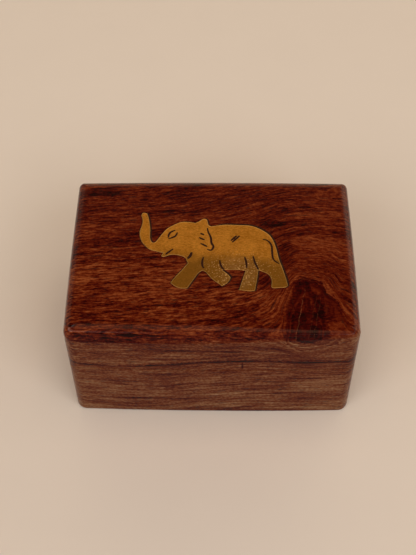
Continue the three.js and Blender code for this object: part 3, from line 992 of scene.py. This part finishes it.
engraved_lines = {
    "upper eyelid": [(-11.9, 4.5), (-11.85, 5.4), (-11.3, 6.4), (-10.1, 7.1)],
    "lower eyelid": [(-11.9, 4.1), (-11.0, 4.45), (-10.0, 5.1), (-9.5, 6.35)],
    "ear edge": [
        (-1.4, 7.95), (-1.15, 6.5), (-0.45, 4.6), (-0.25, 2.7),
        (0.25, 1.6), (0.05, 0.7), (-0.5, 0.2), (-1.4, 0.55),
    ],
    "ear fold top": [(-3.3, 6.0), (-2.8, 5.8), (-2.25, 5.5)],
    "ear fold middle": [(-3.6, 4.6), (-2.95, 4.2), (-2.1, 3.75)],
    "ear fold low": [(-3.2, 2.55), (-2.3, 2.05), (-1.35, 1.45)],
    "mouth line": [(-12.5, -1.3), (-11.85, -0.65), (-10.5, 0.65)],
    "chin fold": [(-6.6, -2.7), (-5.9, -1.75), (-5.5, -0.5)],
    "flank tick front": [(4.95, 3.5), (5.75, 4.4), (6.55, 5.25)],
    "flank tick back": [(5.3, 2.95), (6.3, 4.1), (7.35, 5.2)],
    "tail": [
        (13.55, 4.0), (14.6, 3.7), (15.45, 2.8), (15.9, 1.5),
        (15.95, -0.2), (16.05, -2.0), (16.55, -3.3), (17.8, -4.3),
    ],
    "front leg line": [(-2.35, -2.1), (-2.65, -3.55), (-2.6, -5.0), (-2.15, -5.9)],
    "second leg line": [(2.0, -3.15), (2.15, -4.45), (2.65, -5.7), (3.2, -6.3)],
    "third leg line": [(8.6, -2.05), (9.0, -3.85), (9.1, -5.7)],
    "hind leg line": [(10.85, -1.75), (11.25, -3.7), (11.8, -5.3), (12.2, -6.3)],
}

figure_behind_middle = 0.8
print("drawing:", len(figure_stretches), "stretches and", len(engraved_lines), "engraved lines")

# %% [markdown]
# The outline is needed a little larger for the bed and a little smaller for the softened edge. Moving it
# outwards makes small loops in its inner corners, which are cut off again.

# %% Outline helpers


def smooth_through(points, steps):
    """Places along a smooth curve through the points, with this many steps from each point to the next."""
    padded = [points[0], *points, points[-1]]
    places = []
    for index in range(1, len(padded) - 2):
        before, start, end, after = [Vector(padded[index + shift]) for shift in (-1, 0, 1, 2)]
        for step in range(steps):
            share = step / steps
            places.append(0.5 * (
                2 * start + (end - before) * share
                + (2 * before - 5 * start + 4 * end - after) * share ** 2
                + (3 * start - before - 3 * end + after) * share ** 3
            ))
    places.append(Vector(points[-1]))
    return places


def on_lid(place):
    """A place of the drawing where it lies on the lid."""
    return Vector((place[0], place[1] + figure_behind_middle))


def figure_outline(steps):
    """The whole outline, once round, on the lid."""
    outline = []
    corner = None
    for stretch in figure_stretches.values():
        points = stretch if corner is None else [corner, *stretch]
        outline += smooth_through(points, steps)[:-1]
        corner = stretch[-1]
    return [on_lid(place) for place in outline]


def grown(outline, distance):
    """The outline moved outwards by an even distance, or by what a function of the place gives."""
    area = sum(a.x * b.y - b.x * a.y for a, b in zip(outline, outline[1:] + outline[:1]))
    turning = 1 if area > 0 else -1
    moved = []
    for index, place in enumerate(outline):
        edge_in = (place - outline[index - 1]).normalized()
        edge_out = (outline[(index + 1) % len(outline)] - place).normalized()
        normal = Vector((edge_in.y + edge_out.y, -edge_in.x - edge_out.x)).normalized() * turning
        spread = max(normal.dot(Vector((edge_in.y, -edge_in.x))) * turning, 0.5)
        step = distance(place, normal) if callable(distance) else distance
        moved.append(place + normal * step / spread)
    return moved


def loosened(outline, distance, least_share=0.9):
    """The outline moved outwards, without the places that end up too near to it in its inner corners."""
    kept = []
    for place, start in zip(grown(outline, distance), outline):
        nearest = min((place - other).length for other in outline)
        if nearest > least_share * distance(start, (place - start).normalized()):
            kept.append(place)
    return without_loops(kept)


def without_loops(outline, longest_loop=12):
    """The outline without the small loops in which it crosses itself."""
    for index in range(len(outline)):
        for loop in range(longest_loop, 1, -1):
            corners = [outline[(index + shift) % len(outline)] for shift in (0, 1, loop, loop + 1)]
            crossing = intersect_line_line_2d(*corners)
            if crossing:
                inside = {(index + shift) % len(outline) for shift in range(1, loop + 1)}
                kept = [place for number, place in enumerate(outline) if number not in inside]
                kept.insert(index + 1, crossing)
                return without_loops(kept, longest_loop)
    return outline


def at_level(outline, level):
    """The outline at a height, ready for a stack."""
    return [(place[0], place[1], level) for place in outline]


outline = figure_outline(4)
figure_length = max(place.x for place in outline) - min(place.x for place in outline)
print("elephant outline:", len(outline), "places,", round(figure_length, 2), "mm long")

# %% [markdown]
# ## Letting the brass into the lid
#
# The maker cuts a shallow bed a little larger than the sheet, glues the brass in and fills the gap with
# dark lac mixed with wood dust. The gap is wider in places, so the bed's outline moves out by an amount
# that changes along it.

# %% Inlay and its bed
inlay_thickness = 1.0
inlay_bottom = box_height - inlay_thickness
inlay_gap = 0.12
edge_softness = 0.3
edge_drop = 0.05


def gap_width(place, normal):
    """The bed is loose behind the back and to the right of the trunk and legs, and tighter elsewhere."""
    unevenness = 0.04 * math.sin(place.x * 1.7 + 0.6) * math.sin(place.y * 1.3)
    loose_behind = 0.34 * max(normal.y, 0.0) if place.x > 2 else 0.03
    loose_right = 0.28 * max(normal.x, 0.0)
    return inlay_gap + loose_behind + loose_right + unevenness


bed_outline = loosened(outline, gap_width)
bed_cutter = stacked("bed", [at_level(bed_outline, level) for level in (inlay_bottom, box_height + 1)])
cut(lid_wood, bed_cutter)

elephant = stacked("elephant_brass", [
    at_level(outline, inlay_bottom),
    at_level(outline, box_height - edge_drop * 2),
    at_level(grown(outline, -edge_softness * 0.15), box_height - edge_drop),
    at_level(grown(outline, -edge_softness), box_height),
])
print("bed:", len(bed_outline), "places")

# %% [markdown]
# ## Engraving and lac
#
# The engraved lines are shallow grooves, wider at the top, that hold the same lac as the gap. Two of them
# are cut bolder. The lac stays a hair below the brass and fits in its groove with no face shared.

# %% Engraving and fillings
engraving_width = 0.6
engraving_depth = 0.25
bold_lines = {"chin fold": 1.4, "ear edge": 1.1}
lac_drop = 0.03
lac_clearance = 0.005


def stroke(points, width_share):
    """The narrow outline of an engraved line that swells from its ends to its middle."""
    centre = smooth_through(points, 6)
    left = []
    right = []
    for index, place in enumerate(centre):
        along = (centre[min(index + 1, len(centre) - 1)] - centre[max(index - 1, 0)]).normalized()
        swell = 0.6 + 0.4 * math.sin(math.pi * index / (len(centre) - 1))
        half = engraving_width / 2 * swell * width_share
        across = Vector((-along.y, along.x)) * half
        left.append(on_lid(place + across))
        right.append(on_lid(place - across))
    return right + left[::-1]


def joined(name, parts):
    """Several objects made one, without changing any of their faces."""
    work = bmesh.new()
    for part in parts:
        work.from_mesh(part.data)
        bpy.data.objects.remove(part)
    mesh = bpy.data.meshes.new(name)
    work.to_mesh(mesh)
    work.free()
    return in_scene(name, mesh)


def all_strokes(name, levels):
    """Every engraved line as one body; levels gives pairs of height and share of the full width."""
    parts = []
    for line, points in engraved_lines.items():
        boldness = bold_lines.get(line, 1.0)
        rings = [at_level(stroke(points, share * boldness), level) for level, share in levels]
        parts.append(stacked(name, rings))
    return joined(name, parts)


groove_bottom = box_height - engraving_depth
groove_levels = [(groove_bottom, 0.6), (box_height, 1.0), (box_height + 0.5, 1.3)]
cut(elephant, all_strokes("grooves", groove_levels))
lac_levels = [(groove_bottom + lac_clearance, 0.58), (box_height - lac_drop, 0.96)]
engraving_lac = all_strokes("engraving_lac", lac_levels)

filling_outline = grown(bed_outline, -lac_clearance)
filling_levels = (inlay_bottom + 2 * lac_clearance, box_height - lac_drop)
filling = stacked("edge_lac", [at_level(filling_outline, level) for level in filling_levels])
core_outline = grown(outline, lac_clearance)
core_levels = (inlay_bottom - 1, box_height + 1)
edge_lac = cut(filling, stacked("core", [at_level(core_outline, level) for level in core_levels]))

finish_piece(elephant, brass, "lid", ["elephant_inlay"])
finish_piece(engraving_lac, lac, "lid", [])
finish_piece(edge_lac, lac, "lid", [])

# %% [markdown]
# ## The hinges
#
# Two small butt hinges join the halves at the back. A leaf is a strip of brass with its edge curled round a
# steel pin: the base's leaf has the two outer knuckles and the lid's leaf has the middle one. Each half of
# the box has a shallow bed for the leaf and room for the knuckles, and its back edge is bevelled, which
# stops the open lid.

# %% Hinge sizes and profiles
hinge_middles = {"left": -20.0, "right": 20.0}
hinge_width = 12.0
leaf_depth = 4.6
leaf_thickness = 0.7
leaf_face = seam_gap / 2
leaf_back = leaf_face + leaf_thickness
bed_slack = 0.1
barrel_radius = 1.2
barrel_room = 1.4
past_back = 4.0
hinge_chamfer = 0.08
pin_chamfer = 0.12
middle_knuckle = 4.0
knuckle_gap = 0.2
pin_radius = 0.5
pin_bore = 0.55
axis_y = 26.35
axis_z = 22.075
open_angle = math.radians(100)
stop_gap = 0.05
nail_spacing = 7.2
nail_from_axis = 3.0
nail_head_radius = 0.95
nail_head_height = 0.5
nail_shank_radius = 0.45
nail_length = 4.5
nail_point = 0.8
nail_slack = 0.05


def bar_along_x(name, profile, start, end, chamfer=0.0):
    """A profile in the y and z plane, drawn out from start to end, with both end edges broken."""
    profile = [Vector(place) for place in profile]
    small = grown(profile, -chamfer) if chamfer else profile
    steps = [(start, small), (end, small)]
    if chamfer:
        steps[1:1] = [(start + chamfer, profile), (end - chamfer, profile)]
    return stacked(name, [[(x, place.x, place.y) for place in outline] for x, outline in steps])


def circle(radius, sides, start=0.0, turn=2 * math.pi):
    """Places on a circle, or on a part of it with both ends."""
    closed = abs(turn - 2 * math.pi) < 1e-9
    count = sides if closed else sides + 1
    return [(radius * math.cos(start + turn * step / sides), radius * math.sin(start + turn * step / sides))
            for step in range(count)]


def rectangle(low, high):
    return [(low[0], low[1]), (high[0], low[1]), (high[0], high[1]), (low[0], high[1])]


def moved(item, x, y, z):
    """Shifts the mesh, not the object."""
    item.data.transform(Matrix.Translation(Vector((x, y, z)) * MM))
    return item


def nail_rooms(side):
    """The room of both nails of a leaf, each from the nail's end to above its head."""
    levels = [
        (nail_shank_radius + nail_slack, -nail_length - nail_slack),
        (nail_shank_radius + nail_slack, -nail_head_height),
        (nail_head_radius + nail_slack, 0.0),
        (nail_head_radius + nail_slack, leaf_face),
    ]
    rings = [[(x, y, -side * level) for x, y in circle(radius, 24)] for radius, level in levels]
    middles = (-nail_spacing / 2, nail_spacing / 2)
    return [moved(stacked("hole", rings), middle, -nail_from_axis, side * leaf_face) for middle in middles]


print("hinge helpers ready")

# %% [markdown]
# A leaf is joined from its flat strip and its knuckles, then bored for the pin and the nails. The blocks
# get the same rooms, a little larger, and the bevel behind the axis.

# %% Hinges and their rooms


def knuckle_profile(side):
    """A leaf with its curl, seen from its end: the strip, then round the pin and back."""
    inner = math.asin(leaf_face / barrel_radius)
    outer = math.asin(leaf_back / barrel_radius)
    start = math.pi - inner
    curl = circle(barrel_radius, 28, start, 2 * math.pi - (outer - inner))
    profile = [(-leaf_depth, leaf_face), *curl, (-leaf_depth, leaf_back)]
    return [(y, side * level) for y, level in profile]


def hinge_leaf(name, side):
    """One leaf about the hinge's own axis; side is -1 on the base and 1 on the lid."""
    half = hinge_width / 2
    outer_start = middle_knuckle / 2 + knuckle_gap
    lid_spans = [(-middle_knuckle / 2, middle_knuckle / 2)]
    base_spans = [(-half, -outer_start), (outer_start, half)]
    strip = rectangle((-leaf_depth, leaf_face), (-barrel_room, leaf_back))
    leaf = bar_along_x(name, [(y, side * level) for y, level in strip], -half, half, hinge_chamfer)
    for start, end in lid_spans if side > 0 else base_spans:
        cut(leaf, bar_along_x("knuckle", knuckle_profile(side), start, end, hinge_chamfer), operation="UNION")
    return cut(leaf, bar_along_x("bore", circle(pin_bore, 24), -half - 1, half + 1), *nail_rooms(side))


def hinge_room(side, hinge_x):
    """Everything that one hinge takes out of a block."""
    half = hinge_width / 2 + bed_slack
    bed = rectangle((-leaf_depth - bed_slack, -side * leaf_face), (past_back, side * leaf_back))
    barrel = rectangle((-barrel_room, -side * leaf_face), (past_back, side * barrel_room))
    cutters = [bar_along_x("bed", bed, -half, half), bar_along_x("barrel", barrel, -half, half)]
    return [moved(cutter, hinge_x, axis_y, axis_z) for cutter in cutters + nail_rooms(side)]


def back_bevel(side):
    """The wedge behind the axis that lets the lid open."""
    rise = (past_back + stop_gap) * math.tan(open_angle / 2)
    wedge = [(-stop_gap, 0), (past_back, 0), (past_back, side * rise)]
    return moved(bar_along_x("bevel", wedge, -box_width, box_width), 0, axis_y, axis_z)


for block, side in ((base_wood, -1), (lid_wood, 1)):
    cut(block, back_bevel(side))
    for hinge_x in hinge_middles.values():
        cut(block, *hinge_room(side, hinge_x))

finish_piece(base_wood, rosewood, "base", ["base_block"])
finish_piece(lid_wood, rosewood, "lid", ["lid_block"])

for where, hinge_x in hinge_middles.items():
    for side, body in ((-1, "base"), (1, "lid")):
        leaf = hinge_leaf(f"{where}_{body}_leaf", side)
        moved(leaf, hinge_x, axis_y, axis_z)
        finish_piece(leaf, brass, body, [f"{where}_hinge_{body}_leaf"])
    half = hinge_width / 2
    pin = bar_along_x(f"{where}_pin", circle(pin_radius, 32), -half, half, pin_chamfer)
    moved(pin, hinge_x, axis_y, axis_z)
    finish_piece(pin, steel, "base", [f"{where}_hinge_pin"])

# %% [markdown]
# ## The nails
#
# Eight small brass nails hold the leaves. They are all alike, so Geometry Nodes make one nail and set it
# down at every place. The nail grows from a disc: each step pushes the top face up and makes it wider or
# narrower, which gives the point, the shank, the head and its low dome. One tree serves both bodies, and an
# input turns the nails round for the lid.

# %% One nail by geometry nodes
nodes, given = new_group(
    "hinge_nails",
    {
        "Hinge Spacing": "Float", "Nail Spacing": "Float", "Shank Radius": "Float",
        "Lift": "Vector", "Flip": "Float", "Turn Seed": "Int", "Material": "Material",
    },
    {"Geometry": "Geometry"},
    kind="GeometryNodeTree",
)
tip_scale = 0.15
growth = [
    (nail_point, 1 / tip_scale),
    (nail_length - nail_point - nail_head_height, 1.0),
    (nail_head_height, nail_head_radius / nail_shank_radius),
    (0.02, 0.93),
    (0.015, 0.75),
    (0.01, 0.4),
]
end_face = {"Vertices": 24, "Radius": given["Shank Radius"]}
disc = nodes.make("GeometryNodeMeshCircle", end_face, fill_type="NGON")
tip = nodes.make("GeometryNodeScaleElements", {"Geometry": disc, "Scale": tip_scale})
cap = nodes.make("GeometryNodeFlipFaces", [tip])
stem = tip
top = None
for rise, scale in growth:
    push = {"Mesh": stem, "Selection": top, "Offset": nodes.join(0.0, 0.0, 1.0), "Offset Scale": rise * MM}
    pushed = nodes.make("GeometryNodeExtrudeMesh", push, mode="FACES")
    top = pushed.outputs()["Top"]
    stem = nodes.make("GeometryNodeScaleElements", {"Geometry": pushed, "Selection": top, "Scale": scale})
whole = nodes.make("GeometryNodeJoinGeometry", [cap])
nodes.put(whole.socket.node.inputs[0], stem)
nail = nodes.make("GeometryNodeMergeByDistance", {"Geometry": whole, "Distance": 1e-7})
print("a nail in", len(growth), "steps")

# %% [markdown]
# Two points stand for the hinges and two for the nails of a leaf, so the nails stand at each pair of them.
# Each nail is turned about its own axis by chance, as a hammer leaves it, from a fixed seed.

# %% All nails


def pair_of_points(spacing):
    """Two points, that far apart along x and even about the middle."""
    start = nodes.join(spacing * -0.5, 0.0, 0.0)
    ends = {"Count": 2, "Start Location": start, "Offset": nodes.join(spacing, 0.0, 0.0)}
    return nodes.make("GeometryNodeMeshLine", ends)


def set_down(points, instance, rotation=None):
    named = {"Points": points, "Instance": instance, "Rotation": rotation}
    return nodes.make("GeometryNodeInstanceOnPoints", named)


pairs = set_down(pair_of_points(given["Hinge Spacing"]), pair_of_points(given["Nail Spacing"]))
places = nodes.make("GeometryNodeRealizeInstances", [pairs])
chance = {"Seed": given["Turn Seed"], "Max": math.pi}
spin = nodes.make("FunctionNodeRandomValue", chance, "Value", data_type="FLOAT")
turned = set_down(places, nail, nodes.join(given["Flip"], 0.0, spin))
lifted = nodes.make("GeometryNodeTransform", {"Geometry": turned, "Translation": given["Lift"]})
real = nodes.make("GeometryNodeRealizeInstances", [lifted])
dressed = nodes.make("GeometryNodeSetMaterial", {"Geometry": real, "Material": given["Material"]})
nodes.give(geometry=dressed)
nail_tree = nodes.tree


def nails_for(body, side):
    """The four nails of one body as one plain mesh."""
    item = in_scene(f"{body}_nails", bpy.data.meshes.new(f"{body}_nails"))
    end_z = axis_z + side * leaf_face + side * nail_length
    settings = {
        "Hinge Spacing": (hinge_middles["right"] - hinge_middles["left"]) * MM,
        "Nail Spacing": nail_spacing * MM,
        "Shank Radius": nail_shank_radius * MM,
        "Lift": Vector((0, axis_y - nail_from_axis, end_z)) * MM,
        "Flip": 0.0 if side < 0 else math.pi,
        "Turn Seed": 4,
        "Material": brass,
    }
    modifier = item.modifiers.new("nails", "NODES")
    modifier.node_group = nail_tree
    for socket in nail_tree.interface.items_tree:
        if socket.in_out == "INPUT":
            modifier[socket.identifier] = settings[socket.name]
    bake_modifiers(item)
    replaced = [f"{where}_{body}_nail_{number}" for where in hinge_middles for number in (1, 2)]
    finish_piece(item, brass, body, replaced)


nails_for("base", -1)
nails_for("lid", 1)

# %% [markdown]
# ## The floor
#
# The box stands on a plain pale surface, so that nothing competes with it. The surface is large enough that
# its edge never shows, and it carries only a very slight unevenness.

# %% Floor
floor_half = 3000
floor_corners = rectangle((-floor_half, -floor_half), (floor_half, floor_half))
floor = mesh_object("floor", at_level(floor_corners, 0), [(0, 1, 2, 3)])
floor_finish, nodes, coordinates = new_material("pale_floor")
mottle = nodes.noise(coordinates, scale=60.0, detail=4.0)
floor_color = nodes.mix(mottle, (0.79, 0.765, 0.735), (0.81, 0.785, 0.755))
shade(nodes, {"Base Color": floor_color, "Roughness": 0.9, "Specular IOR Level": 0.2})
floor.data.materials.append(floor_finish)
print("floor:", round(floor.dimensions.x, 1), "m wide")
